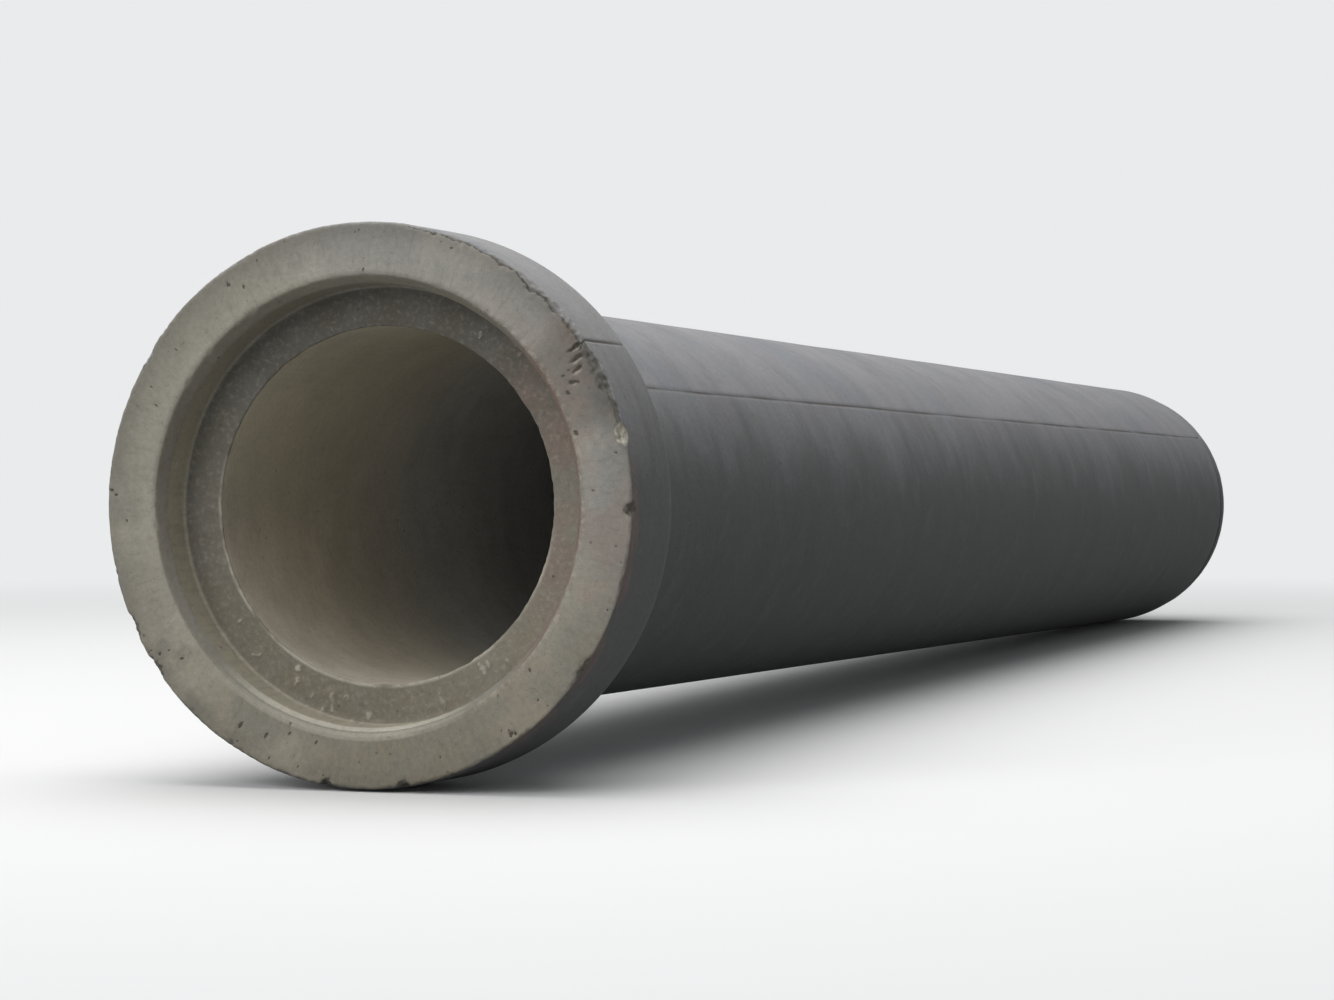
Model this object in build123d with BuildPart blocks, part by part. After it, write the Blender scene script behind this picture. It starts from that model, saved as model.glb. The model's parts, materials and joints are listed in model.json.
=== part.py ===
from build123d import *
from math import asin, atan2, cos, hypot, pi, sin, tan
import os

# Concrete sewer pipe, spun in a steel mould and cast in one piece. It has a bell with a
# socket at one end and a grooved spigot at the other. The pipe lies unheld on a level
# floor at Z = 0, along Y, with its bell facing -Y. It touches the floor at the back of its
# bell and at the end of its barrel, so its axis falls a little towards the spigot.
# All lengths are in millimetres.

# Driving dimensions: the pipe
laying_length = 4000.0
bore_diameter = 400.0
wall = 45.0

# Driving dimensions: the socket inside the bell
socket_depth = 60.0
ring_gap = 5.0
mouth_bevel_height = 9.0
mouth_bevel_length = 16.0

# Driving dimensions: the outside of the bell
face_width = 60.0
bell_length = 135.0
bell_taper_length = 160.0

# Driving dimensions: the spigot, from its tip to the barrel
lead_in_height = 4.0
lead_in_length = 12.0
land_step = 4.0
land_length = 30.0
groove_depth = 5.0
groove_slope_length = 4.0
groove_floor_length = 14.0
shoulder_length = 20.0

# Rounding of each corner of the profile. The two corners at the groove's front are sharp.
bore_edge_radius = 3.0
socket_corner_radius = 6.0
bevel_foot_radius = 8.0
mouth_edge_radius = 4.0
face_edge_radius = 6.0
bell_back_radius = 25.0
taper_foot_radius = 80.0
barrel_end_radius = 3.0
shoulder_foot_radius = 4.0
land_front_radius = 3.0
tip_edge_radius = 3.0
sharp = 0.0

# Radii about the axis. The socket takes the spigot of the next pipe, with room for a ring.
bore_radius = bore_diameter / 2
barrel_radius = bore_radius + wall
land_radius = barrel_radius - land_step
groove_radius = land_radius - groove_depth
tip_radius = land_radius - lead_in_height
socket_radius = land_radius + ring_gap
mouth_radius = socket_radius + mouth_bevel_height
bell_radius = mouth_radius + face_width

# Stations along the axis, from the face of the bell
total_length = laying_length + socket_depth
taper_end = bell_length + bell_taper_length
land_front = total_length - lead_in_length
land_back = land_front - land_length
groove_front = land_back - groove_slope_length
groove_back = groove_front - groove_floor_length
barrel_end = groove_back - shoulder_length

# The corners of the wall's profile: station, radius about the axis, rounding
corners = [
    (socket_depth, bore_radius, bore_edge_radius),
    (socket_depth, socket_radius, socket_corner_radius),
    (mouth_bevel_length, socket_radius, bevel_foot_radius),
    (0, mouth_radius, mouth_edge_radius),
    (0, bell_radius, face_edge_radius),
    (bell_length, bell_radius, bell_back_radius),
    (taper_end, barrel_radius, taper_foot_radius),
    (barrel_end, barrel_radius, barrel_end_radius),
    (groove_back, groove_radius, shoulder_foot_radius),
    (groove_front, groove_radius, sharp),
    (land_back, land_radius, sharp),
    (land_front, land_radius, land_front_radius),
    (total_length, tip_radius, tip_edge_radius),
    (total_length, bore_radius, bore_edge_radius),
]

# How the pipe rests. Its supports are the round at the back of the bell and the round at
# the end of the barrel, and the floor is the tangent that both rounds share.
taper_angle = atan2(bell_radius - barrel_radius, bell_taper_length)
shoulder_angle = atan2(barrel_radius - groove_radius, shoulder_length)
bell_round_station = bell_length - bell_back_radius * tan(taper_angle / 2)
bell_round_height = bell_radius - bell_back_radius
barrel_round_station = barrel_end - barrel_end_radius * tan(shoulder_angle / 2)
barrel_round_height = barrel_radius - barrel_end_radius
round_run = barrel_round_station - bell_round_station
round_drop = bell_round_height - barrel_round_height
radius_difference = bell_back_radius - barrel_end_radius
tilt = atan2(round_drop, round_run) + asin(radius_difference / hypot(round_run, round_drop))
face_centre_height = (
    bell_round_station * sin(tilt) + bell_round_height * cos(tilt) + bell_back_radius
)

# The pipe is centred on Y between the foot of its face and the top of its tip
foot_reach = (bell_radius - face_edge_radius) * sin(tilt) + face_edge_radius * (1 - cos(tilt))
tip_turn = pi / 2 - atan2(lead_in_height, lead_in_length)
tip_round_station = total_length - tip_edge_radius
tip_round_height = tip_radius - tip_edge_radius * tan(tip_turn / 2)
tip_reach = tip_round_station * cos(tilt) + tip_round_height * sin(tilt) + tip_edge_radius
face_centre_y = (foot_reach - tip_reach) / 2

# The profile's plane stands upright through the axis: its X runs along the axis from the
# face of the bell, and its Y is the distance from the axis
profile_plane = Plane(
    origin=(0, face_centre_y, face_centre_height),
    x_dir=(0, cos(tilt), -sin(tilt)),
    z_dir=(1, 0, 0),
)
pipe_axis = Axis(profile_plane.origin, profile_plane.x_dir)

with BuildPart() as pipe:
    with BuildSketch(profile_plane):
        with BuildLine():
            FilletPolyline(
                *[(station, radius) for station, radius, rounding in corners],
                radius=[rounding for station, radius, rounding in corners],
                close=True,
            )
        make_face()
    revolve(axis=pipe_axis)

pipe.part.label = "pipe"
os.makedirs("parts", exist_ok=True)
export_step(pipe.part, "parts/pipe.step")
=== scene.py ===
import cmath
import json
import math
from collections import namedtuple

import bpy
import numpy as np
from bpy.props import FloatProperty, FloatVectorProperty, IntProperty, PointerProperty
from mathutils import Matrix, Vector, noise


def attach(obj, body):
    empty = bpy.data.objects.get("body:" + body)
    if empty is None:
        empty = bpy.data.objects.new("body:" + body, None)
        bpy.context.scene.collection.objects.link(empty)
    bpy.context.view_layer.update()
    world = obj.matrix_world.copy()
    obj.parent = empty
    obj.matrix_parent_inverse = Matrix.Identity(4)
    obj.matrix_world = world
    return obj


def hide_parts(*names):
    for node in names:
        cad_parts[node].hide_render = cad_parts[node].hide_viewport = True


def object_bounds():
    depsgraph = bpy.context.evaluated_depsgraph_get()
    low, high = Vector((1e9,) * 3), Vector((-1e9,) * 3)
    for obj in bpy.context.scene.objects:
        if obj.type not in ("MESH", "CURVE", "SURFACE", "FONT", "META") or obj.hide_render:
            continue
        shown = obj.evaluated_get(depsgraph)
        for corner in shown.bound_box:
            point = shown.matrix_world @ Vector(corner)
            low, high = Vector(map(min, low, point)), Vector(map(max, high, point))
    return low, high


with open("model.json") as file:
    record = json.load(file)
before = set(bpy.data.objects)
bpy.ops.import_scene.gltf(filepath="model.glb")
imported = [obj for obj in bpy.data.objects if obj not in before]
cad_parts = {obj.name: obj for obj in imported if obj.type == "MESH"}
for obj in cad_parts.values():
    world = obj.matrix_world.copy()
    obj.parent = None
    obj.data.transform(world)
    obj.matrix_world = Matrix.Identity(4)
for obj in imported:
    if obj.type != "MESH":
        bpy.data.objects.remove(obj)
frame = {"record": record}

bl_info = {
    "name": "Concrete sewer pipe",
    "version": (1, 0, 0),
    "blender": (4, 5, 0),
    "location": "3D View > Sidebar > Sewer pipe",
    "description": "A socket pipe of worn concrete in a plain studio",
    "category": "Object",
}

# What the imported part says. A mount's axis points the way that its mate leaves.
CAD_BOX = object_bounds()
MOUNTS = {mount["name"]: mount for mount in frame["record"]["mounts"]}
MM = 0.001
WATERWAY = MOUNTS["waterway"]
ALONG = -Vector(WATERWAY["axis"]).normalized()
RIGHT = Vector((1, 0, 0))
UP = RIGHT.cross(ALONG)


def mount_radius(name):
    """The radius of a round mount, in metres."""
    return MOUNTS[name]["dims"]["r_mm"] * MM


def length(name, description, default):
    """A length that the user may change, with its default in metres."""
    return FloatProperty(
        name=name, description=description, default=default, min=0, unit="LENGTH", precision=4
    )


def tint(name, description, red, green, blue):
    """A colour that the user may change. Its default is given as the 0 to 255 of a screen."""
    def linear(level):
        shown = level / 255
        return shown / 12.92 if shown <= 0.04045 else ((shown + 0.055) / 1.055) ** 2.4

    return FloatVectorProperty(
        name=name,
        description=description,
        default=(linear(red), linear(green), linear(blue)),
        size=3,
        min=0,
        max=1,
        subtype="COLOR",
    )


def share(name, description, default, highest=1.0):
    """A plain number from 0 up."""
    return FloatProperty(name=name, description=description, default=default, min=0, max=highest)


class PipeSizes(bpy.types.PropertyGroup):
    """The outline of the pipe's wall, which is turned about the pipe's axis"""

    bore_radius: length("Bore radius", "Inside of the pipe", mount_radius("waterway"))
    barrel_radius: length("Barrel radius", "Outside of the barrel", mount_radius("barrel"))
    socket_radius: length("Socket radius", "Inside of the bell", mount_radius("socket"))
    land_radius: length("Land radius", "Ring at the spigot's tip", mount_radius("spigot"))
    bell_radius: length("Bell radius", "Outside of the bell", (CAD_BOX[1].x - CAD_BOX[0].x) / 2)
    water_length: length("Water length", "Plain bore", WATERWAY["dims"]["length_mm"] * MM)
    bore_edge: length("Bore edge", "Rounding at the two ends of the bore", 0.003)
    socket_depth: length("Socket depth", "From the face to the shoulder", 0.060)
    bevel_height: length("Bevel height", "Widening of the mouth", 0.009)
    bevel_length: length("Bevel length", "Depth of the mouth's bevel", 0.016)
    bell_length: length("Bell length", "Straight outside of the bell", 0.135)
    taper_length: length("Taper length", "From the bell down to the barrel", 0.160)
    lead_in_length: length("Lead-in length", "Taper at the spigot's tip", 0.012)
    lead_in_height: length("Lead-in height", "Taper at the spigot's tip", 0.004)
    land_length: length("Land length", "Ring between tip and groove", 0.030)
    groove_depth: length("Groove depth", "Seat of the sealing ring", 0.005)
    groove_slope: length("Groove slope", "Slope from the land into the groove", 0.004)
    groove_floor: length("Groove floor", "Flat bottom of the groove", 0.014)
    shoulder_slope: length("Shoulder slope", "Ramp from the groove to the barrel", 0.020)
    seam_turn: FloatProperty(
        name="Seam",
        description="Where the mould's halves met, from the top to the right",
        default=math.radians(54.8),
        subtype="ANGLE",
    )


class PipeWear(bpy.types.PropertyGroup):
    """How far the cast surface departs from the turned outline"""

    skin: length("Skin", "How far inside the outline all of it lies", 0.00015)
    sway: length("Sway", "Long waves in the wall", 0.0008)
    grit: length("Grit", "Small unevenness of the ends", 0.00045)
    edge: length("Worn edge", "Usual wear of the rim's outer edge", 0.0045)
    rubbed: length("Rubbed edge", "Wear where the rim was rolled and dragged", 0.011)
    nibble: length("Nibble", "Depth of the small breaks along the rim", 0.0065)
    seam_depth: length("Seam depth", "Groove left by the mould's joint", 0.0014)
    seam_width: length("Seam width", "Width of that groove", 0.0042)
    pits: IntProperty(name="Pits", description="Air holes in the face", default=80, min=0)
    crumbs: IntProperty(name="Crumbs", description="Lumps of mortar in the socket", default=44, min=0)
    seed: IntProperty(name="Seed", description="Starts the random draws", default=11, min=0)


class ConcreteTints(bpy.types.PropertyGroup):
    """The colours of the concrete, part by part"""

    face: tint("Face", "End of the bell and tip of the spigot", 132, 129, 119)
    face_low: tint("Low face", "Brown stain at the bottom of the face", 129, 121, 103)
    # Also laid on as painted light: a highlight on the bore's lower edge, the bell's top and the mouth's
    # lower edge.
    paste: tint("Paste", "Pale cement on the lip, the edges and the lumps", 184, 179, 165)
    rust: tint("Rust", "Reddish brown stains in and round the mouth", 120, 101, 93)
    socket: tint("Socket", "Inside of the bell", 168, 162, 144)
    # Also laid on as painted shade: on the upper socket wall, the upper bevel and the bore's top near
    # its ends.
    shoulder: tint("Shoulder", "Ring that stops the next spigot", 104, 100, 91)
    bore: tint("Bore", "Water side near its end", 180, 173, 156)
    # Paler than the bore near its end: painted light far into the bore.
    far_in_painted_light: tint("Deep", "Water side further in, coated with fine cement", 200, 200, 199)
    # Painted light: paler at the bottom of the bore near its ends.
    bore_bottom_painted_light: tint("Film", "Lime at the bottom of the bore, where water ran out", 201, 191, 176)
    # Darker than the concrete itself: partly painted shade on the outside's sides and underside.
    side: tint("Side", "Outside, against the steel mould", 82, 83, 83)
    # Partly dust and partly painted light from above on the upper side.
    dust_and_top_light: tint("Dust", "Pale dust on the upper side", 137, 136, 138)
    blue: tint("Blue", "Bluish patches in the upper side", 114, 120, 125)
    # Also laid on as painted shade: the shoulder's top and a band inside the rim's outer edge.
    rubbed: tint("Rubbed", "Coarse concrete where the rim is worn", 90, 87, 80)
    # Also the colour of painted shade: inside holes and gouges, in the seam groove and at the shoulder's
    # top.
    broken_and_shade: tint("Broken", "Inside of gouges and air holes", 66, 61, 54)


class StudioSettings(bpy.types.PropertyGroup):
    """Floor, lamps and camera"""

    floor: tint("Floor", "Plain pale floor, as the camera sees it", 226, 226, 225)
    bounce: tint("Bounce", "The floor as it lights the pipe from below", 132, 132, 130)
    ahead: tint("Ahead", "The same in front of the face", 195, 194, 190)
    backdrop: tint("Backdrop", "What the camera sees behind the pipe", 234, 235, 236)
    top_lamp: share("Top lamp", "Radiance of the soft lamp overhead", 2.75, 50)
    front_lamp: share("Front lamp", "Radiance of the soft lamp in front", 3.65, 50)
    sky: share("Sky", "Even light from all sides", 0.27, 10)
    camera_right: length("Camera right", "From the middle of the face to the camera", 1.63)
    camera_back: length("Camera back", "In front of the face", 3.82)
    camera_up: length("Camera up", "Above the pipe's axis", 0.011)
    filled: share("Filled", "Share of the picture's width that the pipe takes", 0.84)


# From each corner of the outline to the next, the rings lie `spacing` apart, and each ring has
# the least number of points times 2 to the power of its level.
LEAST_POINTS = 160
BARREL, COLLAR, SOCKET, RIM = range(4)
Corner = namedtuple("Corner", "station radius rounding level spacing sheet")
Ring = namedtuple("Ring", "station radius out level sheet")

# The sheets of the surface's texture map: their share of its height, the strips that the turn
# is cut into, and whether the pipe's axis runs along the sheet. The bell's end has most room.
Sheet = namedtuple("Sheet", "height strips lengthwise")
MOUTH_SHEET, BELL_SHEET, BARREL_SHEET, TIP_SHEET, BORE_SHEET = range(5)
SHEETS = (
    Sheet(0.42, 2, False),
    Sheet(0.15, 1, False),
    Sheet(0.25, 1, True),
    Sheet(0.06, 1, False),
    Sheet(0.12, 1, True),
)
SHEET_GAP = 0.006

# Mesh attributes that the finish reads
CHIP, HOLE, CRUMB, SEAM = "chip", "hole", "crumb", "seam"

# The marks on the bell's end, in degrees from the top towards the right. A reach is how far a
# mark goes to each side. A pale break shows pale mortar.
Break = namedtuple("Break", "degrees reach depth pale")
RIM_BREAKS = (
    Break(75.3, 1.7, 0.007, 1),
    Break(90.5, 1.2, 0.008, 0),
    Break(124, 2.4, 0.004, 0),
    Break(171, 1.2, 0.006, 0),
    Break(-172, 1.1, 0.006, 0),
    Break(-126, 2.5, 0.005, 0),
    Break(-116, 2.8, 0.006, 0),
    Break(-58, 1.8, 0.003, 0),
)
RUBBED_MIDDLE, RUBBED_REACH = 43, 30
WHOLE_MIDDLE, WHOLE_REACH = 108, 15
SMEAR_MIDDLE = math.radians(61)

# The short gouges beside the mould's joint, all of one width
Stroke = namedtuple("Stroke", "degrees radius length depth")
STROKES = (
    Stroke(54.9, 0.303, 0.024, 0.0050),
    Stroke(57.0, 0.296, 0.022, 0.0036),
    Stroke(59.0, 0.289, 0.020, 0.0040),
    Stroke(61.0, 0.279, 0.014, 0.0034),
)
STROKE_WIDTH = 0.0058

# Where lumps of mortar lie in the socket: the middle of each group and its spread
LUMP_GROUPS = ((-160, 5), (-172, 5), (-163, 4), (-135, 4), (146, 5), (168, 8), (0, 120))


def total_length(s):
    """From the face to the tip."""
    return s.socket_depth + 2 * s.bore_edge + s.water_length


def face_centre(s):
    """The middle of the bell's face, from the middle of the waterway."""
    return Vector(WATERWAY["pos_m"]) - ALONG * (s.socket_depth + s.bore_edge + s.water_length / 2)


def wall_corners(s):
    """The corners of the wall's outline: over the face, the outside, the tip and the bore."""
    end = total_length(s)
    tip_radius = s.land_radius - s.lead_in_height
    groove_radius = s.land_radius - s.groove_depth
    mouth_radius = s.socket_radius + s.bevel_height
    land_front = end - s.lead_in_length
    land_back = land_front - s.land_length
    groove_front = land_back - s.groove_slope
    groove_back = groove_front - s.groove_floor
    barrel_end = groove_back - s.shoulder_slope
    rim_face, rim_side = 0.026, 0.022
    rim_radius = s.bell_radius - rim_face
    bell_back = rim_side + 0.035
    taper_end = s.bell_length + s.taper_length
    barrel_start, tip_start = taper_end + 0.080, barrel_end - 0.060
    near, far, bore_end = s.socket_depth + 0.030, s.socket_depth + 0.150, end - 0.060
    return [
        Corner(s.socket_depth, s.bore_radius, s.bore_edge, SOCKET, 0.0032, MOUTH_SHEET),
        Corner(s.socket_depth, s.socket_radius, 0.006, SOCKET, 0.0050, MOUTH_SHEET),
        Corner(s.bevel_length, s.socket_radius, 0.008, SOCKET, 0.0032, MOUTH_SHEET),
        Corner(0, mouth_radius, 0.004, SOCKET, 0.0042, MOUTH_SHEET),
        Corner(0, rim_radius, 0, RIM, 0.0020, MOUTH_SHEET),
        Corner(0, s.bell_radius, 0.004, RIM, 0.0022, MOUTH_SHEET),
        Corner(rim_side, s.bell_radius, 0, SOCKET, 0.0090, BELL_SHEET),
        Corner(bell_back, s.bell_radius, 0, COLLAR, 0.0120, BELL_SHEET),
        Corner(s.bell_length, s.bell_radius, 0.025, COLLAR, 0.0160, BELL_SHEET),
        Corner(taper_end, s.barrel_radius, 0.080, COLLAR, 0.0200, BELL_SHEET),
        Corner(barrel_start, s.barrel_radius, 0, BARREL, 0.0700, BARREL_SHEET),
        Corner(tip_start, s.barrel_radius, 0, COLLAR, 0.0200, BARREL_SHEET),
        Corner(barrel_end, s.barrel_radius, 0.003, COLLAR, 0.0050, TIP_SHEET),
        Corner(groove_back, groove_radius, 0.004, COLLAR, 0.0050, TIP_SHEET),
        Corner(groove_front, groove_radius, 0.001, COLLAR, 0.0040, TIP_SHEET),
        Corner(land_back, s.land_radius, 0.001, COLLAR, 0.0075, TIP_SHEET),
        Corner(land_front, s.land_radius, 0.003, COLLAR, 0.0045, TIP_SHEET),
        Corner(end, tip_radius, 0.003, COLLAR, 0.0045, TIP_SHEET),
        Corner(end, s.bore_radius, s.bore_edge, COLLAR, 0.0150, TIP_SHEET),
        Corner(bore_end, s.bore_radius, 0, BARREL, 0.1100, BORE_SHEET),
        Corner(far, s.bore_radius, 0, COLLAR, 0.0300, BORE_SHEET),
        Corner(near, s.bore_radius, 0, SOCKET, 0.0120, BORE_SHEET),
    ]


def wall_rings(corners):
    """The outline's points in order, each with the direction out of the wall. A point is the
    complex number station + 1j * radius, so that a turn is a product."""
    arc_step = math.radians(24)
    points = [complex(c.station, c.radius) for c in corners]
    arcs = []
    for here, before, after, corner in zip(
        points, points[-1:] + points[:-1], points[1:] + points[:1], corners
    ):
        into = (here - before) / abs(here - before)
        away = (after - here) / abs(after - here)
        turn = cmath.phase(away / into)
        if corner.rounding == 0:
            arcs.append([(here, 1j * (into + away) / abs(into + away))])
            continue
        start = here - into * corner.rounding * math.tan(abs(turn) / 2)
        centre = start + into * 1j * math.copysign(corner.rounding, turn)
        steps = max(2, math.ceil(abs(turn) / arc_step))
        spins = [cmath.exp(1j * turn * step / steps) for step in range(steps + 1)]
        arcs.append([(centre + (start - centre) * spin, 1j * into * spin) for spin in spins])
    rings = []
    for corner, arc, next_arc in zip(corners, arcs, arcs[1:] + arcs[:1]):
        first, last = arc[-1][0], next_arc[0][0]
        steps = max(1, round(abs(last - first) / corner.spacing))
        out = 1j * (last - first) / abs(last - first)
        run = [(first + (last - first) * step / steps, out) for step in range(1, steps)]
        rings += [
            Ring(point.real, point.imag, normal, corner.level, corner.sheet)
            for point, normal in arc + run
        ]
    return rings


def ring_angles(level, seam_turn):
    """Angles round a ring, closer together at the mould's two seams."""
    closeness, reach, samples = 4.0, math.radians(1.6), 7201
    fine = np.linspace(0, 2 * math.pi, samples)
    density = np.ones_like(fine)
    for seam in (seam_turn, seam_turn + math.pi):
        gap = (fine - seam + math.pi) % (2 * math.pi) - math.pi
        density += closeness * np.exp(-((gap / reach) ** 2))
    filled = np.concatenate([[0], np.cumsum((density[1:] + density[:-1]) / 2)])
    count = LEAST_POINTS << level
    return np.interp(np.arange(count) / count * filled[-1], filled, fine)


def ring_faces(first, first_count, second, second_count):
    """Faces between two rings, the second with as many points, twice as many or half."""
    if first_count == second_count:
        for k in range(first_count):
            after = (k + 1) % first_count
            yield first + k, first + after, second + after, second + k
        return
    flip = first_count > second_count
    coarse, fine = (second, first) if flip else (first, second)
    count, fine_count = min(first_count, second_count), max(first_count, second_count)
    for k in range(count):
        a, b = coarse + k, coarse + (k + 1) % count
        left, middle, right = (fine + (2 * k + step) % fine_count for step in range(3))
        for face in ((a, middle, left), (a, b, middle), (b, right, middle)):
            yield face[::-1] if flip else face


def smooth(values, low, high):
    """0 below low and 1 above high, with a smooth step between."""
    t = np.clip((values - low) / (high - low), 0, 1)
    return t * t * (3 - 2 * t)


def turned(angle, degrees):
    """How far each angle is from one in degrees, in radians from -pi to pi."""
    return (angle - math.radians(degrees) + math.pi) % (2 * math.pi) - math.pi


class Wall:
    """The pipe's surface points, with the marks that wear and casting leave on them."""

    def __init__(self, rings, sizes, wear):
        self.sizes, self.wear = sizes, wear
        self.counts = [LEAST_POINTS << ring.level for ring in rings]
        self.angle = np.concatenate([ring_angles(ring.level, sizes.seam_turn) for ring in rings])
        self.station = np.repeat([ring.station for ring in rings], self.counts)
        self.radius = np.repeat([ring.radius for ring in rings], self.counts)
        self.out = np.repeat([ring.out for ring in rings], self.counts)
        self.turned_station, self.turned_radius = self.station.copy(), self.radius.copy()
        self.marks = {name: np.zeros(len(self.angle)) for name in (CHIP, HOLE, CRUMB, SEAM)}
        self.random = np.random.default_rng(wear.seed)

    def waves(self, size, where, offset=0.0):
        """Even noise, about -1 to 1, of waves of that size, at the points chosen by where.
        Each pattern has its own offset."""
        gain = 1.6
        radius, angle = self.turned_radius[where], self.angle[where]
        places = np.stack(
            [self.turned_station[where], radius * np.sin(angle), radius * np.cos(angle)], 1
        )
        places = places / size + offset
        return np.array([noise.noise(place) for place in places.tolist()]) * gain

    def push(self, depth, where):
        """Moves points into the wall by depth, which may be negative."""
        self.station[where] -= self.out[where].real * depth
        self.radius[where] -= self.out[where].imag * depth

    def mark(self, name, where, values):
        """Sets a mark to values where they are higher than it."""
        self.marks[name][where] = np.maximum(self.marks[name][where], values)

    def cut_corner(self, where, inward, distance, depth):
        """Cuts a corner off by a plane across it. distance is how far each point lies from the
        corner, along both faces added, and depth is how far the cut reaches along them."""
        faint, plain = 0.0007, 0.0024
        missing = np.maximum(0, depth - distance) / 2
        self.station[where] += inward[0] * missing
        self.radius[where] += inward[1] * missing
        self.mark(CHIP, where, smooth(missing, faint, plain))

    def cast(self):
        """Long waves and the fine grit of the ends."""
        s, wear = self.sizes, self.wear
        long_wave, coarse_grain, fine_grain = 0.30, 0.022, 0.007
        tip_reach, shoulder_reach, shoulder_grit = 0.09, 0.004, 2.2
        every = np.ones(len(self.angle), bool)
        off_floor = 1 - 0.85 * smooth(-np.cos(self.angle), 0.90, 0.99)
        sway = wear.sway * (0.5 + 0.5 * self.waves(long_wave, every)) * off_floor
        self.push(wear.skin + sway, every)
        end = total_length(s)
        ends = (self.turned_station < s.bell_length) | (self.turned_station > end - tip_reach)
        station = self.turned_station[ends]
        near_face = 1 - smooth(station, s.socket_depth, s.bell_length)
        near_tip = smooth(station, end - tip_reach, end)
        rough = 0.55 * self.waves(coarse_grain, ends, 5.0) + 0.45 * self.waves(fine_grain, ends, 9.0)
        on_shoulder = np.abs(station - s.socket_depth) < shoulder_reach
        on_shoulder &= self.turned_radius[ends] < s.socket_radius
        amount = np.where(on_shoulder, shoulder_grit, near_face + near_tip) * wear.grit
        self.push(amount * (0.6 + rough), ends)

    def wear_rim(self):
        """The rim's outer edge: rubbed round on the upper right, and nibbled nearly all round.
        Each kind of wear adds to the depth by which the edge is cut off."""
        s, wear = self.sizes, self.wear
        rim_face, rim_side = 0.028, 0.024
        where = (self.turned_station < rim_side) & (self.turned_radius > s.bell_radius - rim_face)
        angle = self.angle[where]

        def hump(middle, reach):
            """1 round an angle, and 0 beyond its reach."""
            return np.exp(-((turned(angle, middle) / math.radians(reach)) ** 4))

        distance = self.station[where] + s.bell_radius - self.radius[where]
        depth = wear.edge * (1 + 0.40 * self.waves(0.050, where, 2.0))
        past_joint = smooth(turned(angle, math.degrees(s.seam_turn)), 0.0, 0.03)
        rubbed = hump(RUBBED_MIDDLE, RUBBED_REACH) * (1 + 0.4 * past_joint)
        depth += (wear.rubbed - wear.edge) * rubbed * (0.8 + 0.4 * self.waves(0.02, where, 3.0))
        nibbles = smooth(self.waves(0.017, where, 7.0), 0.50, 1.2)
        often = 0.15 + 0.85 * smooth(self.waves(0.16, where, 8.0), 0.0, 0.7)
        depth += wear.nibble * nibbles * often * (1 - hump(WHOLE_MIDDLE, WHOLE_REACH))
        depth *= 1 + 0.18 * self.waves(0.006, where, 5.0)
        ragged = 1 + 0.35 * self.waves(0.009, where, 4.0) + 0.25 * self.waves(0.0045, where, 6.0)
        pale = np.zeros(len(angle))
        pale_spread = 1.4
        for spot in RIM_BREAKS:
            depth += spot.depth * hump(spot.degrees, spot.reach) * ragged
            pale = np.maximum(pale, spot.pale * hump(spot.degrees, spot.reach * pale_spread))
        self.cut_corner(where, (1, -1), distance, depth)
        self.marks[CRUMB][where] = pale * smooth(depth - distance, -0.0015, 0.002)

    def wear_mouth(self):
        """Small breaks along the inner edge of the face."""
        s = self.sizes
        reach, deepest, slope = 0.010, 0.0035, 0.6
        mouth = s.socket_radius + s.bevel_height
        where = (self.turned_station < reach) & (np.abs(self.turned_radius - mouth) < reach)
        distance = self.station[where] + np.maximum(0, self.radius[where] - mouth)
        depth = deepest * smooth(self.waves(0.013, where, 12.0), 0.35, 0.9)
        self.cut_corner(where, (1, slope), distance, depth)

    def wear_tip(self):
        """Small breaks along the two edges of the spigot's tip."""
        s = self.sizes
        tip_side, tip_face, least, more = 0.02, 0.016, 0.002, 0.008
        end = total_length(s)
        for edge, side in ((s.land_radius - s.lead_in_height, -1), (s.bore_radius, 1)):
            where = np.abs(self.turned_radius - edge) < tip_face
            where &= self.turned_station > end - tip_side
            distance = end - self.station[where] + np.abs(edge - self.radius[where])
            depth = least + more * smooth(self.waves(0.018, where, 20.0 + side), 0.35, 0.9)
            self.cut_corner(where, (-1, side), distance, depth)

    def gouge(self, degrees, radius, along, across, deepest):
        """A gouge in the face, `along` long out from the axis and `across` wide. A long one has
        a pale edge of torn mortar beside it."""
        face_reach, waver, pale_offset, paleness = 0.006, 0.15, 1.2, 0.55
        where = self.turned_station < face_reach
        where &= self.turned_radius > self.sizes.socket_radius
        over = turned(self.angle[where], degrees) * self.turned_radius[where]
        out = self.turned_radius[where] - radius
        near = (np.abs(over) < along) & (np.abs(out) < along)
        where[where] = near
        over, out = over[near], out[near]
        over += waver * across * self.waves(across, where, degrees)
        out += waver * along * self.waves(along * 0.4, where, degrees + 50)
        lengthwise, crosswise = out / along * 2, over / across * 2
        fall = np.clip(1 - lengthwise ** 2 - crosswise ** 2, 0, 1)
        uneven = 0.75 + 0.4 * self.waves(0.004, where, 60.0)
        self.station[where] += deepest * np.sqrt(fall) * uneven
        self.mark(HOLE, where, smooth(fall, 0.1, 0.9))
        if along > 2 * across:
            beside = np.clip(1 - lengthwise ** 2 - (crosswise - pale_offset) ** 2, 0, 1)
            self.mark(CRUMB, where, paleness * beside)

    def break_face(self):
        """The strokes beside the mould's joint, and air holes of all sizes."""
        for stroke in STROKES:
            self.gouge(stroke.degrees, stroke.radius, stroke.length, STROKE_WIDTH, stroke.depth)
        s = self.sizes
        inmost = s.socket_radius + s.bevel_height + 0.003
        outmost = s.bell_radius - 0.004
        least, more, depth_share = 0.0030, 0.0055, 0.35
        for _ in range(self.wear.pits):
            degrees = self.random.uniform(-180, 180)
            radius = self.random.uniform(inmost, outmost)
            size = least + more * self.random.random() ** 4
            width = size * self.random.uniform(0.6, 1.0)
            self.gouge(degrees, radius, size, width, size * depth_share)

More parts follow.
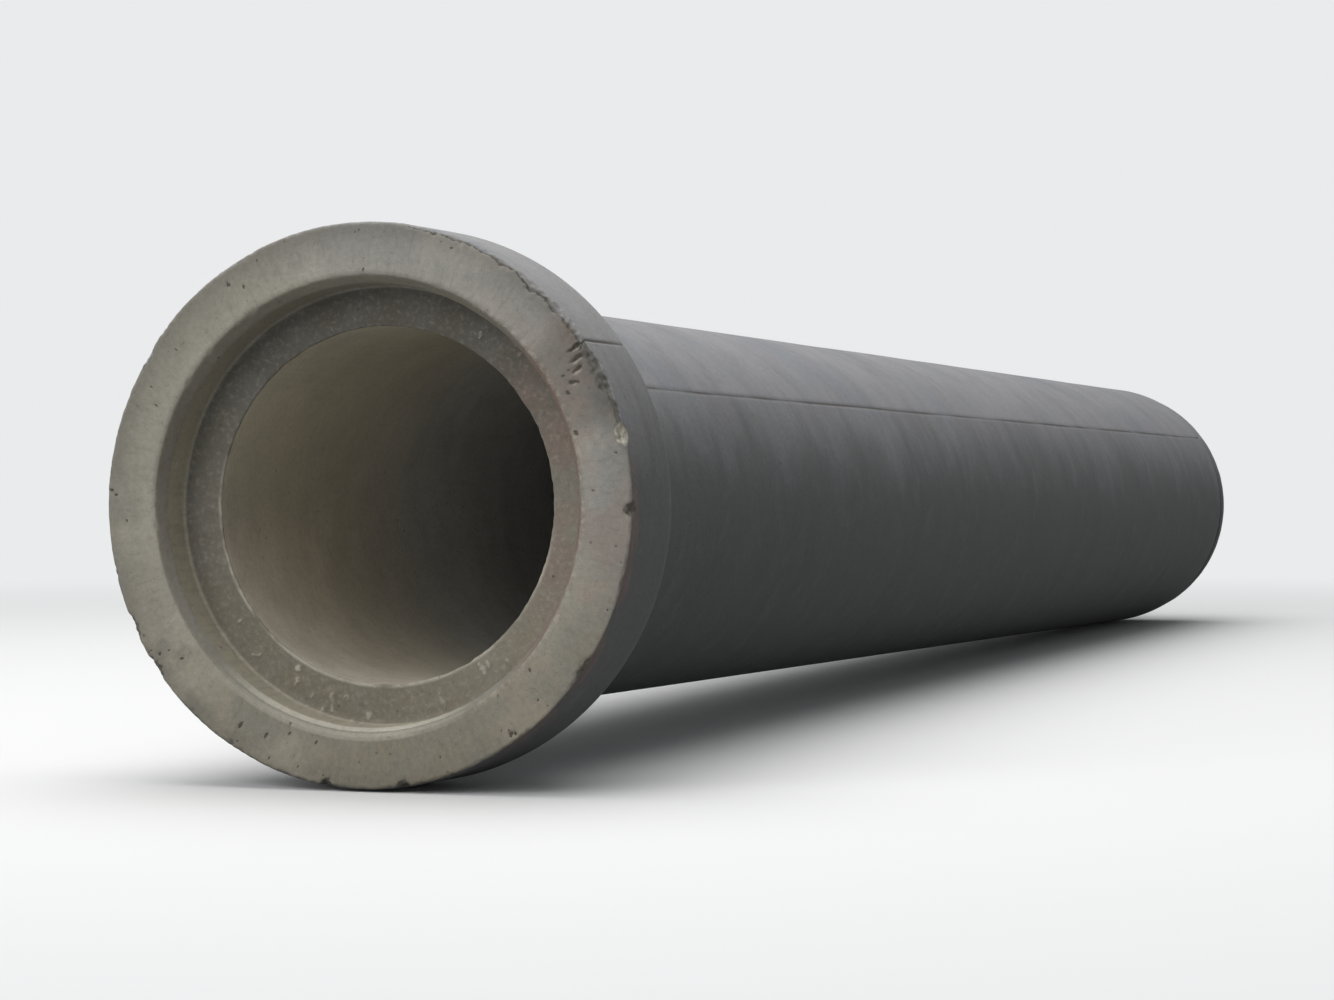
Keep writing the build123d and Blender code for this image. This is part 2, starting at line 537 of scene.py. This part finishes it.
    def part_mould(self):
        """The grooves that the two joints between the mould's halves left along the outside."""
        s, wear = self.sizes, self.wear
        reach, wander, rim_reach, tip_reach = 0.03, 0.0006, 0.01, 0.085
        outside = self.turned_radius > (s.bore_radius + s.barrel_radius) / 2
        outside &= (self.turned_station > 0.003) & (self.turned_station < total_length(s) - tip_reach)
        on_rim = self.turned_radius > s.bell_radius - rim_reach
        outside &= (self.turned_station > s.socket_depth) | on_rim
        for seam in (s.seam_turn, s.seam_turn + math.pi):
            gap = turned(self.angle, math.degrees(seam)) * self.turned_radius
            where = outside & (np.abs(gap) < reach)
            off = gap[where] - wander * self.waves(0.25, where, 30.0)
            near = np.exp(-((off / wear.seam_width * 2) ** 2))
            kept = 0.55 + 0.45 * smooth(self.waves(0.08, where, 31.0), -0.5, 0.4)
            self.push(wear.seam_depth * near * kept, where)
            self.marks[SEAM][where] = near * kept

    def drop_crumbs(self):
        """Lumps of mortar on the shoulder and on the socket's wall, most of them low down."""
        s = self.sizes
        shoulder_reach, wall_share, mark_strength = 0.036, 0.4, 0.6
        smallest, largest = 0.0022, 0.0052
        where = (self.turned_station > 0.010) & (self.turned_station < s.socket_depth + 0.001)
        where &= self.turned_radius < s.socket_radius + 0.004
        station, radius, angle = self.turned_station[where], self.turned_radius[where], self.angle[where]
        heights = np.zeros(len(angle))
        for _ in range(self.wear.crumbs):
            middle, spread = LUMP_GROUPS[self.random.integers(len(LUMP_GROUPS))]
            degrees = self.random.normal(middle, spread)
            depth = self.random.uniform(0.0, shoulder_reach)
            on_wall = self.random.random() < wall_share
            size = self.random.uniform(smallest, largest)
            lump_station = s.socket_depth - depth * 0.5 if on_wall else s.socket_depth
            lump_radius = s.socket_radius if on_wall else s.socket_radius - depth
            over = turned(angle, degrees) * radius
            out = (radius - lump_radius) / self.random.uniform(1, 2.2)
            near = (over ** 2 + (station - lump_station) ** 2 + out ** 2) / size ** 2
            heights = np.maximum(heights, size * 0.5 * np.clip(1 - near, 0, 1) ** 0.7)
        heights *= 0.75 + 0.5 * self.waves(0.004, where, 40.0)
        self.push(-heights, where)
        self.marks[CRUMB][where] = mark_strength * smooth(heights, 0.0003, 0.0018)

    def places(self):
        """The points in the row frame."""
        right, up = self.radius * np.sin(self.angle), self.radius * np.cos(self.angle)
        places = np.array(face_centre(self.sizes))
        for amounts, axis in ((self.station, ALONG), (right, RIGHT), (up, UP)):
            places = places + amounts[:, None] * np.array(axis)
        return places


def unroll(mesh, rings, wall, face_rings):
    """Lays the surface out in sheets, as a texture map. face_rings has each face's first ring."""
    points = np.array([complex(ring.station, ring.radius) for ring in rings])
    way = np.concatenate([[0], np.cumsum(np.abs(np.roll(points, -1) - points))])
    sheet_of_ring = np.array([ring.sheet for ring in rings])
    corners = np.empty(len(mesh.loops), int)
    mesh.loops.foreach_get("vertex_index", corners)
    sides = np.array([len(face.vertices) for face in mesh.polygons])
    first_ring = np.repeat(face_rings, sides)
    starts = np.concatenate([[0], np.cumsum(sides)[:-1]])
    ring_of_point = np.repeat(np.arange(len(rings)), wall.counts)
    early, late, least_turn = 0.25, 0.75, 0.001
    turn = wall.angle[corners] / (2 * math.pi)
    wraps = np.repeat(np.maximum.reduceat(turn, starts) > late, sides)
    turn = np.where(wraps & (turn < early), turn + 1, turn)
    first_turn = np.repeat(np.minimum.reduceat(turn, starts), sides)
    reached = np.where(ring_of_point[corners] == first_ring, way[first_ring], way[first_ring + 1])
    places = np.empty((len(corners), 2))
    base = 0.0
    for number, sheet in enumerate(SHEETS):
        here = sheet_of_ring[first_ring] == number
        begin, end = way[first_ring[here]].min(), way[first_ring[here] + 1].max()
        across = (reached[here] - begin) / (end - begin)
        strip = np.floor(first_turn[here] * sheet.strips + least_turn)
        around = turn[here] * sheet.strips - strip
        height = sheet.height / sheet.strips
        x, y = (across, around) if sheet.lengthwise else (around, across)
        places[here, 0] = SHEET_GAP + x * (1 - 2 * SHEET_GAP)
        places[here, 1] = base + strip * height + SHEET_GAP / 2 + y * (height - SHEET_GAP)
        base += sheet.height
    layer = mesh.uv_layers.new(name="OFBake")
    layer.data.foreach_set("uv", places.astype(np.float32).ravel())


def pipe_mesh(sizes, wear):
    """The whole pipe as one closed mesh."""
    rings = wall_rings(wall_corners(sizes))
    wall = Wall(rings, sizes, wear)
    wall.cast()
    wall.part_mould()
    wall.wear_rim()
    wall.wear_mouth()
    wall.wear_tip()
    wall.break_face()
    wall.drop_crumbs()
    starts = np.concatenate([[0], np.cumsum(wall.counts)])
    faces, face_rings = [], []
    for k, count in enumerate(wall.counts):
        after = (k + 1) % len(rings)
        faces += ring_faces(int(starts[k]), count, int(starts[after]), wall.counts[after])
        face_rings += [k] * (len(faces) - len(face_rings))
    mesh = bpy.data.meshes.new("pipe_body")
    mesh.from_pydata(wall.places().tolist(), [], faces)
    for name, values in wall.marks.items():
        mesh.attributes.new(name, "FLOAT", "POINT").data.foreach_set("value", values.astype(np.float32))
    mesh.polygons.foreach_set("use_smooth", np.ones(len(mesh.polygons), bool))
    unroll(mesh, rings, wall, face_rings)
    mesh.update()
    return mesh


class Wire:
    """An output in a node tree. Arithmetic on wires adds the nodes for it."""

    def __init__(self, finish, socket):
        self.finish, self.socket = finish, socket

    def maths(self, operation, first, second):
        return self.finish.node(
            "ShaderNodeMath", {"operation": operation}, {0: first, 1: second}
        )

    def __add__(self, other):
        return self.maths("ADD", self, other)

    __radd__ = __add__

    def __sub__(self, other):
        return self.maths("SUBTRACT", self, other)

    def __rsub__(self, other):
        return self.maths("SUBTRACT", other, self)

    def __mul__(self, other):
        return self.maths("MULTIPLY", self, other)

    __rmul__ = __mul__

    def __truediv__(self, other):
        return self.maths("DIVIDE", self, other)

    def __rtruediv__(self, other):
        return self.maths("DIVIDE", other, self)

    def lower(self, other):
        return self.maths("MINIMUM", self, other)

    def higher(self, other):
        return self.maths("MAXIMUM", self, other)

    def step(self, low, high):
        """0 at low and 1 at high, with a smooth step between. low may be the higher."""
        return self.finish.node(
            "ShaderNodeMapRange",
            {"interpolation_type": "SMOOTHSTEP"},
            {"Value": self, "From Min": low, "From Max": high},
        )

    def band(self, low, high, soft):
        """1 between low and high, and 0 beyond them by soft."""
        return self.step(low - soft, low) * self.step(high + soft, high)


class Finish:
    """The node tree of a material or of the world, with the shader that it starts with."""

    def __init__(self, owner, shader="Principled BSDF"):
        owner.use_nodes = True
        self.owner, self.tree = owner, owner.node_tree
        self.shader = self.tree.nodes[shader]

    def node(self, kind, settings, inputs, output=0):
        """Adds a node: its settings first, then its inputs' values or wires."""
        made = self.tree.nodes.new(kind)
        for name, value in settings.items():
            setattr(made, name, value)
        for name, value in inputs.items():
            self.join(made.inputs[name], value)
        return Wire(self, made.outputs[output])

    def join(self, socket, value):
        """Links a wire to a socket, or sets its value."""
        if isinstance(value, Wire):
            self.tree.links.new(value.socket, socket)
        else:
            socket.default_value = value

    def vector(self, operation, first, second, output="Vector"):
        return self.node(
            "ShaderNodeVectorMath", {"operation": operation}, {0: first, 1: second}, output
        )

    def combine(self, x, y, z):
        return self.node("ShaderNodeCombineXYZ", {}, {"X": x, "Y": y, "Z": z})

    def blend(self, factor, first, second, way="MIX"):
        """Mixes two colours, each a wire or a plain colour."""
        first, second = (c if isinstance(c, Wire) else (*c, 1.0) for c in (first, second))
        settings = {"data_type": "RGBA", "blend_type": way}
        return self.node("ShaderNodeMix", settings, {0: factor, 6: first, 7: second}, 2)

    def coats(self, colour, *layers):
        """Lays colours over one another. Each layer is its share and its colour."""
        for portion, coat in layers:
            colour = self.blend(portion, colour, coat)
        return colour

    def grain(self, where, scale, detail, roughness):
        """Noise of 0 to 1 about 0.5."""
        return self.node(
            "ShaderNodeTexNoise",
            {"noise_dimensions": "3D"},
            {"Vector": where, "Scale": scale, "Detail": detail, "Roughness": roughness},
            "Fac",
        )

    def holes(self, where, scale, size):
        """1 at the middle of small round spots, one in each cell of that scale."""
        cells = self.node(
            "ShaderNodeTexVoronoi",
            {"voronoi_dimensions": "3D", "feature": "F1"},
            {"Vector": where, "Scale": scale},
            "Distance",
        )
        return cells.step(size, size * 0.4)

    def seen(self):
        """1 for rays of the camera, also mirrored and let through, and 0 for those that light."""
        camera, glossy, through = (
            self.node("ShaderNodeLightPath", {}, {}, f"Is {kind} Ray")
            for kind in ("Camera", "Glossy", "Transmission")
        )
        return camera.higher(glossy).higher(through)

    def choose(self, factor, second, output):
        """Mixes the first shader with a second and sends the result to the output."""
        inputs = {0: factor, 1: Wire(self, self.shader.outputs[0]), 2: second}
        mixed = self.node("ShaderNodeMixShader", {}, inputs)
        self.join(self.tree.nodes[output].inputs["Surface"], mixed)


class Concrete(Finish):
    """Grey concrete: pale cast ends, a beige bore and a dark outside with a dusty top. Its dark
    sides are partly painted shade and its pale top partly painted light. height and right are
    those of a point's direction from the axis, so they go from -1 to 1."""

    def __init__(self, sizes, tints):
        super().__init__(bpy.data.materials.new("cast_concrete"))
        self.sizes, self.tints = sizes, tints
        place = self.node("ShaderNodeTexCoord", {}, {}, "Object")
        self.rel = self.vector("SUBTRACT", place, tuple(face_centre(sizes)))
        self.station, sideways, upwards = (
            self.vector("DOT_PRODUCT", self.rel, tuple(axis), "Value") for axis in (ALONG, RIGHT, UP)
        )
        across = self.combine(0.0, sideways, upwards)
        self.radius = self.vector("LENGTH", across, (0, 0, 0), "Value")
        self.height, self.right = upwards / self.radius, sideways / self.radius
        self.chip, self.hollow, self.crumb, self.seam = (
            self.node("ShaderNodeAttribute", {"attribute_name": name}, {}, "Fac")
            for name in (CHIP, HOLE, CRUMB, SEAM)
        )
        self.cloud = self.grain(self.rel, 4.0, 3.0, 0.55)
        self.patch = self.grain(self.rel, 19.0, 3.0, 0.6)
        self.speck = self.grain(self.rel, 170.0, 2.0, 0.65)
        self.sand = self.grain(self.rel, 640.0, 1.0, 0.7)
        self.long_streaks = self.drawn_out(self.station * 6.0, 34.0, 2.0, 0.6)
        self.find_parts()
        self.find_stains()

    def drawn_out(self, other, around, detail, roughness):
        """Noise that is stretched: around is how close it is round the axis."""
        place = self.combine(other, self.right * around, self.height * around)
        return self.grain(place, 1.0, detail, roughness)

    def find_parts(self):
        """Which part of the wall a point is on."""
        s, station, radius = self.sizes, self.station, self.radius
        self.end, self.mouth = total_length(s), s.socket_radius + s.bevel_height
        end, mouth = self.end, self.mouth
        wall_middle = (s.bore_radius + s.barrel_radius) / 2
        past_socket = station.step(s.socket_depth - 0.004, s.socket_depth + 0.004)
        on_barrel = past_socket * radius.step(wall_middle - 0.001, wall_middle + 0.001)
        on_bell = (1 - past_socket) * radius.step(s.bell_radius - 0.016, s.bell_radius - 0.012)
        self.outside = on_barrel + on_bell
        face = station.step(0.014, 0.010) * radius.step(mouth - 0.002, mouth + 0.002)
        self.face = face * (s.bell_radius - radius - station).step(-0.002, 0.001)
        self.tip = station.step(end - 0.006, end - 0.002)
        lip = station.step(s.bevel_length + 0.004, s.bevel_length - 0.002)
        self.lip = lip * radius.step(mouth + 0.003, mouth)
        shoulder = station.band(s.socket_depth - 0.003, s.socket_depth + 0.002, 0.002)
        self.shoulder = shoulder * radius.step(s.socket_radius, s.socket_radius - 0.003)
        self.bore = past_socket * radius.step(s.bore_radius + 0.004, s.bore_radius + 0.001)
        uneven = radius + (self.speck - 0.5) * 0.004
        bore_lip = station.band(s.socket_depth - 0.001, s.socket_depth + 0.003, 0.001)
        self.bore_lip = bore_lip * uneven.step(s.bore_radius + 0.006, s.bore_radius + 0.003)

    def find_stains(self):
        """The side of the mould's joint, the red at the right, and the bottom, where pale cement and
        painted light from above are laid.
        """
        height, right, turn = self.height, self.right, self.sizes.seam_turn
        self.past_seam = (right * math.cos(turn) - height * math.sin(turn)).step(-0.006, 0.006)
        self.reddish = right.step(0.55, 0.92) * self.patch.step(0.30, 0.58)
        # Bottom of the pipe: pale cement, partly painted light from above.
        self.paste_and_light_below = (height + right * 0.12).step(-0.76, -0.97)

    def skin_colour(self):
        """Outside: dark against the steel mould, partly as painted shade on the sides, and dusty above
        the joint of its halves, partly as painted light from above.
        """
        tints, cloud, patch, past_seam = self.tints, self.cloud, self.patch, self.past_seam
        station, height, right = self.station, self.height, self.right
        round_bands = self.drawn_out(station * 11.0, 1.2, 3.0, 0.55)
        run_down = self.drawn_out(station * 34.0, 1.6, 2.0, 0.6)
        # The upper side is made paler by height: partly dust, partly painted light from above. The sides
        # keep the dark colour, partly painted shade.
        ragged = height + (cloud - 0.5) * 0.5 + (round_bands - 0.5) * 0.3
        dust_and_top_light_left = ragged.step(-0.05, 0.50)
        dust_and_top_light_right = (ragged + (run_down - 0.5) * 0.3).step(0.02, 0.78)
        dust_and_top_light = (dust_and_top_light_left * (1 - past_seam)).higher(dust_and_top_light_right * past_seam * 0.80)
        dust_and_top_light = dust_and_top_light * (1.20 - height * 0.25 + (patch - 0.5) * 0.5).lower(1.0)
        # Towards the bell the outside is made paler: painted light on the bell's top.
        near_bell = station.step(self.sizes.bell_length + 0.40, self.sizes.bell_length)
        dust_and_top_light = (dust_and_top_light * (1 + near_bell * 0.3)).lower(1.0)
        self.dust_and_top_light = dust_and_top_light
        bluish = (cloud + (patch - 0.5) * 0.5).step(0.48, 0.66) * dust_and_top_light
        darker = round_bands.step(0.44, 0.66) * 0.10 + run_down.step(0.50, 0.78) * 0.06
        behind_rim = station.band(0.002, 0.022, 0.006) * right.step(0.2, 0.8) * height.step(0.3, 0.1)
        soot = (0.03, 0.03, 0.032)
        return self.coats(
            tints.side,
            (dust_and_top_light, tints.dust_and_top_light),
            (dust_and_top_light * near_bell * 0.14, tints.paste),
            (near_bell * 0.10, tints.dust_and_top_light),
            (bluish * 0.5, tints.blue),
            (darker, soot),
            (patch.step(0.48, 0.80) * 0.10, tints.dust_and_top_light),
            (behind_rim * patch.step(0.30, 0.55) * 0.45, tints.rust),
            # Painted shade: the mould's seam groove is darkened as if in shadow.
            (self.seam.step(0.15, 0.8) * 0.75, tints.broken_and_shade),
        )

    def end_colour(self):
        """Ends: pale, darker at the rim as painted shade of its outer edge, darker along the upper half
        of the mouth's edge, stained below and smeared beside the mould's joint.
        """
        tints, cloud, patch, radius = self.tints, self.cloud, self.patch, self.radius
        height, right, mouth, rim = self.height, self.right, self.mouth, self.sizes.bell_radius
        low = height.step(0.0, -0.98)
        inner = radius.step(mouth + 0.034, mouth + 0.008) * height.step(-0.9, -0.5)
        # Painted shade: a mottled band inside the rim's outer edge is darkened, less at the upper right.
        outer = radius.step(rim - 0.031, rim - 0.006) * (patch + 0.5)
        outer = outer * (1 - (right - height).step(0.2, 1.2) * 0.6)
        # Darker along the upper half of the mouth's edge.
        upper_mouth_edge_dark = radius.step(mouth + 0.007, mouth + 0.001) * height.step(-0.3, 0.2)
        smear = right * math.sin(SMEAR_MIDDLE) + height * math.cos(SMEAR_MIDDLE)
        smear = smear + (patch - 0.5) * 0.025
        wrapped = smear.step(0.960, 0.985) * radius.step(rim - 0.034, rim - 0.012)
        scores = self.drawn_out(radius * 30.0, 46.0, 2.0, 0.7)
        return self.coats(
            tints.face,
            ((height + right).step(0.3, 1.1) * 0.40, tints.dust_and_top_light),
            (low * 0.6 * patch.step(0.25, 0.6), tints.face_low),
            (inner * 0.13, tints.paste),
            (outer * 0.40, tints.rubbed),
            (upper_mouth_edge_dark * 0.45, tints.shoulder),
            (smear.step(0.972, 0.990) * 0.55, tints.rubbed),
            (wrapped * self.past_seam * 0.35, tints.side),
            (scores.step(0.48, 0.76) * 0.26, tints.shoulder),
            (cloud.step(0.46, 0.64) * patch.step(0.36, 0.60) * 0.22, tints.paste),
            (right.step(0.30, 0.95) * patch.step(0.40, 0.62) * 0.35, tints.rust),
        )

    def lip_colour(self):
        """The mouth's bevel: darker above as painted shade, with pale cement at its foot on the lower
        side, partly painted light where the bevel faces up.
        """
        tints, foot = self.tints, self.sizes.bevel_length
        lip_foot = self.station.band(foot - 0.006, foot, 0.003)
        return self.coats(
            tints.face,
            # Painted shade on the upper bevel, which faces down, and pale cement with painted light on
            # the lower bevel.
            ((self.height - self.right * 0.3).step(-0.2, 0.5) * 0.6, tints.shoulder),
            (self.paste_and_light_below * (0.10 + lip_foot * 0.85), tints.paste),
            (self.reddish * 0.9, tints.rust),
        )

    def socket_colour(self):
        """The socket's wall: darker above as painted shade, with streaks along it."""
        tints = self.tints
        return self.coats(
            tints.socket,
            # Painted shade: the upper wall takes the darker shoulder colour.
            (self.height.step(-0.2, 0.95) * 0.85, tints.shoulder),
            (self.long_streaks.step(0.44, 0.68) * 0.25, tints.face),
        )

    def shoulder_colour(self):
        """The shoulder: paler at the right as painted light and darkest at the top as painted shade,
        where the mouth's rim hides the light.
        """
        tints, height = self.tints, self.height
        return self.coats(
            tints.shoulder,
            # Painted light at the right and painted shade towards the top, the shade of the mouth's rim.
            ((self.right + 0.15).step(0.0, 1.0) * 0.85, tints.face),
            (height.step(-0.2, 0.8) * 0.95, tints.rubbed),
            (height.step(0.4, 1.0) * 0.40, tints.broken_and_shade),
            (height.step(-0.1, -0.9) * 0.45, tints.face_low),
            (self.patch.step(0.42, 0.62) * 0.08, tints.blue),
            (self.reddish * 0.5, tints.rust),
            (self.speck.step(0.50, 0.74) * 0.10, tints.paste),
        )

    def bore_colour(self):
        """The bore: paler at the bottom near an end as painted light, darker at the top near an end as
        painted shade, and paler and greyer further in as painted light where less light reaches.
        """
        tints, height, station = self.tints, self.height, self.station
        from_end = (station - self.sizes.socket_depth).lower(self.end - station)
        # Painted light at the bottom and painted shade at the top near each end.
        bore_bottom_painted_light = (height + self.right * 0.3).step(-0.20, -0.65) * from_end.step(0.50, 0.03)
        bore_top_painted_shade = height.step(0.4, 1.0) * from_end.step(0.40, 0.0)
        # Further in, the colour turns paler: painted light where little light reaches.
        return self.coats(
            tints.bore,
            (from_end.step(0.15, 0.80), tints.far_in_painted_light),
            (bore_bottom_painted_light * (self.patch + 0.45), tints.bore_bottom_painted_light),
            (bore_top_painted_shade * 0.30, tints.shoulder),
            (self.long_streaks.step(0.45, 0.70) * 0.15, tints.paste),
            (self.cloud.step(0.50, 0.70) * 0.15, tints.face),
        )

    def worn_colour(self, skin):
        """Broken places: dark above, and as the skin where the light falls on the worn rim."""
        tints, height = self.tints, self.height
        lit = self.station.step(0.0028, 0.0060) * height.step(0.2, 0.5)
        return self.coats(
            tints.rubbed,
            (height.step(0.30, 0.85) * 0.8, tints.broken_and_shade),
            (lit * 0.8, skin),
            (self.speck.step(0.46, 0.66) * 0.25, tints.face),
            (self.past_seam * height.step(0.20, 0.32) * 0.85, tints.rubbed),
        )

    def wall_colour(self, skin):
        """All parts together, with a painted highlight of pale cement on the lower edge of the bore, and
        pale cement on the mouth's edge, partly painted light at its bottom.
        """
        right, patch, speck, paste = self.right, self.patch, self.speck, self.tints.paste
        # Painted highlight: the bore's rounded edge is paler on its lower part, which faces the light.
        bore_edge = self.bore_lip * (self.height + right * 0.2).step(0.15, -0.25)
        mouth_edge = self.radius.band(self.mouth - 0.002, self.mouth + 0.004, 0.003)
        mouth_edge = mouth_edge * self.station.step(0.008, 0.004)
        flecks = right.step(0.2, 0.7) * speck.step(0.44, 0.66) * 0.5
        return self.coats(
            self.socket_colour(),
            (self.outside, skin),
            (self.bore, self.bore_colour()),
            (self.shoulder, self.shoulder_colour()),
            (bore_edge * patch.step(0.30, 0.55) * 0.55, paste),
            (self.lip, self.lip_colour()),
            (self.face.higher(self.tip), self.end_colour()),
            (mouth_edge * flecks.higher(self.paste_and_light_below) * 0.35, paste),
        )


def concrete_finish(sizes, tints):
    """The concrete with its chipped places, its air holes and gouges, darkened partly as painted shade
    inside them, and the sand in the cement.
    """
    f = Concrete(sizes, tints)
    chip, hollow, crumb, patch, speck, sand = f.chip, f.hollow, f.crumb, f.patch, f.speck, f.sand
    skin = f.skin_colour()
    hole = f.holes(f.rel, 46.0, 0.10) * patch.step(0.46, 0.58)
    pinhole = speck.step(0.31, 0.24)
    gouged = (hollow + (speck - 0.5) * 0.5).step(0.20, 0.60)
    colour = f.coats(
        f.wall_colour(skin),
        ((chip + (speck - 0.5) * 0.5).step(0.15, 0.6) * 0.9, f.worn_colour(skin)),
        ((crumb + (speck - 0.5) * 0.3).step(0.15, 0.9) * 0.75, tints.paste),
        # Air holes and gouges take the dark colour: partly coarser concrete, partly painted shade inside
        # them.
        ((hole * 0.55).higher(pinhole * 0.35).higher(gouged * 0.85), tints.broken_and_shade),
    )
    shade = 1 + (speck - 0.5) * 0.40 + (sand - 0.5) * 0.30 + (patch - 0.5) * 0.34
    colour = f.blend(1.0, colour, f.combine(shade, shade, shade), "MULTIPLY")
    f.join(f.shader.inputs["Base Color"], colour)
    f.join(f.shader.inputs["Roughness"], 0.86 + (patch - 0.5) * 0.18 - f.dust_and_top_light * 0.02)
    f.shader.inputs["Specular IOR Level"].default_value = 0.28
    rough = 0.6 + (chip + hollow) * 2.0 + f.shoulder * 0.5
    relief = speck * rough + sand * 0.3 + patch * 0.9 - hole * 1.6
    bump = {"Strength": 0.55, "Distance": 0.0010, "Height": relief}
    f.join(f.shader.inputs["Normal"], f.node("ShaderNodeBump", {}, bump, "Normal"))
    return f.owner


def floor_finish(settings, middle):
    """Pale and matt near the pipe. Far off, the camera sees the backdrop's colour. The light
    that the floor throws back is weaker than its colour, so the pipe's underside stays dark."""
    f = Finish(bpy.data.materials.new("studio_floor"))
    f.shader.inputs["Roughness"].default_value = 0.9
    f.shader.inputs["Specular IOR Level"].default_value = 0.1
    seen = f.seen()
    place = f.node("ShaderNodeTexCoord", {}, {}, "Object")
    face_y, fade = CAD_BOX[0].y, 0.7
    ahead = f.vector("DOT_PRODUCT", place, (0, 1, 0), "Value").step(face_y, face_y - fade)
    thrown = f.blend(ahead, settings.bounce, settings.ahead)
    f.join(f.shader.inputs["Base Color"], f.blend(seen, thrown, settings.floor))
    fade_from, fade_to = 1.9, 4.6
    far_off = f.vector("DISTANCE", place, (middle.x, middle.y, 0), "Value").step(fade_from, fade_to)
    glow = f.node("ShaderNodeEmission", {}, {"Color": (*settings.backdrop, 1)})
    f.choose(far_off * seen, glow, "Material Output")
    return f.owner


def set_world(settings):
    """Even light for surfaces, and the backdrop's colour for the camera."""
    f = Finish(bpy.data.worlds.new("studio"), "Background")
    f.shader.inputs["Color"].default_value = (0.94, 0.97, 1.0, 1)
    f.shader.inputs["Strength"].default_value = settings.sky
    backdrop = f.node("ShaderNodeBackground", {}, {"Color": (*settings.backdrop, 1)})
    f.choose(f.seen(), backdrop, "World Output")
    bpy.context.scene.world = f.owner


def set_up(name, data, place, view):
    """Puts a lamp or a camera at a place, turned to look along view."""
    made = bpy.data.objects.new(name, data)
    made.location = place
    made.rotation_euler = view.to_track_quat("-Z", "Y").to_euler()
    bpy.context.scene.collection.objects.link(made)
    return made


def soft_lamp(name, place, target, size, radiance):
    """A square lamp that faces target. Its power follows from the radiance of its face."""
    data = bpy.data.lights.new(name, "AREA")
    data.size = size
    data.energy = radiance * math.pi * size * size
    set_up(name, data, place, target - place).visible_camera = False


def set_camera(sizes, settings):
    """Looks from where the photograph does: level with the axis, to the right of the face.
    The lens lets the pipe fill its share of the picture."""
    look_down = 0.018
    centre = face_centre(sizes)
    place = centre - ALONG * settings.camera_back
    place += RIGHT * settings.camera_right + UP * settings.camera_up
    end = centre + ALONG * total_length(sizes)
    bell, barrel = RIGHT * sizes.bell_radius, RIGHT * sizes.barrel_radius
    edges = [edge - place for edge in (centre - bell, centre + bell, end + barrel)]
    turns = [math.atan2(edge.x, edge.y) for edge in edges]
    middle = (min(turns) + max(turns)) / 2
    half_width = math.tan((max(turns) - min(turns)) / 2)
    data = bpy.data.cameras.new("camera")
    data.lens = data.sensor_width / 2 / half_width * settings.filled
    data.clip_end = 200
    view = Vector((math.sin(middle), math.cos(middle), -look_down))
    bpy.context.scene.camera = set_up("camera", data, place, view)


class SEWERPIPE_OT_body(bpy.types.Operator):
    """Casts the pipe's body in one piece, with its wear and its concrete"""

    bl_idname = "sewer_pipe.body"
    bl_label = "Cast the pipe's body"

    def execute(self, context):
        scene = context.scene
        mesh = pipe_mesh(scene.pipe_sizes, scene.pipe_wear)
        mesh.materials.append(concrete_finish(scene.pipe_sizes, scene.concrete_tints))
        body = bpy.data.objects.new("pipe_body", mesh)
        scene.collection.objects.link(body)
        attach(body, "root")
        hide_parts("pipe")
        return {"FINISHED"}


class SEWERPIPE_OT_stage(bpy.types.Operator):
    """Sets a pale floor, soft lamps and the camera round the pipe"""

    bl_idname = "sewer_pipe.stage"
    bl_label = "Set the studio"

    def execute(self, context):
        scene, settings = context.scene, context.scene.studio_settings
        middle = (CAD_BOX[0] + CAD_BOX[1]) / 2
        front_middle = Vector((0, CAD_BOX[0].y, 0.3))
        overhead = middle + Vector((-0.4, -0.4, 5.2))
        in_front = front_middle + Vector((-1.8, -5.6, 3.0))
        overhead_size, in_front_size = 6.5, 5.0
        bpy.ops.mesh.primitive_circle_add(
            vertices=96, radius=90, fill_type="NGON", location=(0, 0, CAD_BOX[0].z)
        )
        floor = context.object
        floor.name = "studio_floor"
        floor.data.materials.append(floor_finish(settings, middle))
        set_world(settings)
        soft_lamp("top_lamp", overhead, middle, overhead_size, settings.top_lamp)
        soft_lamp("front_lamp", in_front, front_middle, in_front_size, settings.front_lamp)
        set_camera(scene.pipe_sizes, settings)
        scene.view_settings.view_transform = "Standard"
        return {"FINISHED"}


class SEWERPIPE_PT_panel(bpy.types.Panel):
    """Lists the steps that make the pipe, and their settings"""

    bl_idname = "SEWERPIPE_PT_panel"
    bl_label = "Sewer pipe"
    bl_space_type = "VIEW_3D"
    bl_region_type = "UI"
    bl_category = "Sewer pipe"

    def draw(self, context):
        for operator in OPERATORS:
            self.layout.operator(operator.bl_idname)
        for holder in GROUPS:
            box = self.layout.box()
            settings = getattr(context.scene, holder)
            for name in settings.__annotations__:
                box.prop(settings, name)


OPERATORS = (SEWERPIPE_OT_body, SEWERPIPE_OT_stage)
GROUPS = {
    "pipe_sizes": PipeSizes,
    "pipe_wear": PipeWear,
    "concrete_tints": ConcreteTints,
    "studio_settings": StudioSettings,
}


def register():
    for kind in (*GROUPS.values(), *OPERATORS, SEWERPIPE_PT_panel):
        bpy.utils.register_class(kind)
    for holder, kind in GROUPS.items():
        setattr(bpy.types.Scene, holder, PointerProperty(type=kind))


def unregister():
    for holder in GROUPS:
        delattr(bpy.types.Scene, holder)
    for kind in (SEWERPIPE_PT_panel, *OPERATORS, *GROUPS.values()):
        bpy.utils.unregister_class(kind)


def main():
    register()
    bpy.ops.sewer_pipe.body()
    bpy.ops.sewer_pipe.stage()


if __name__ == "__main__":
    main()
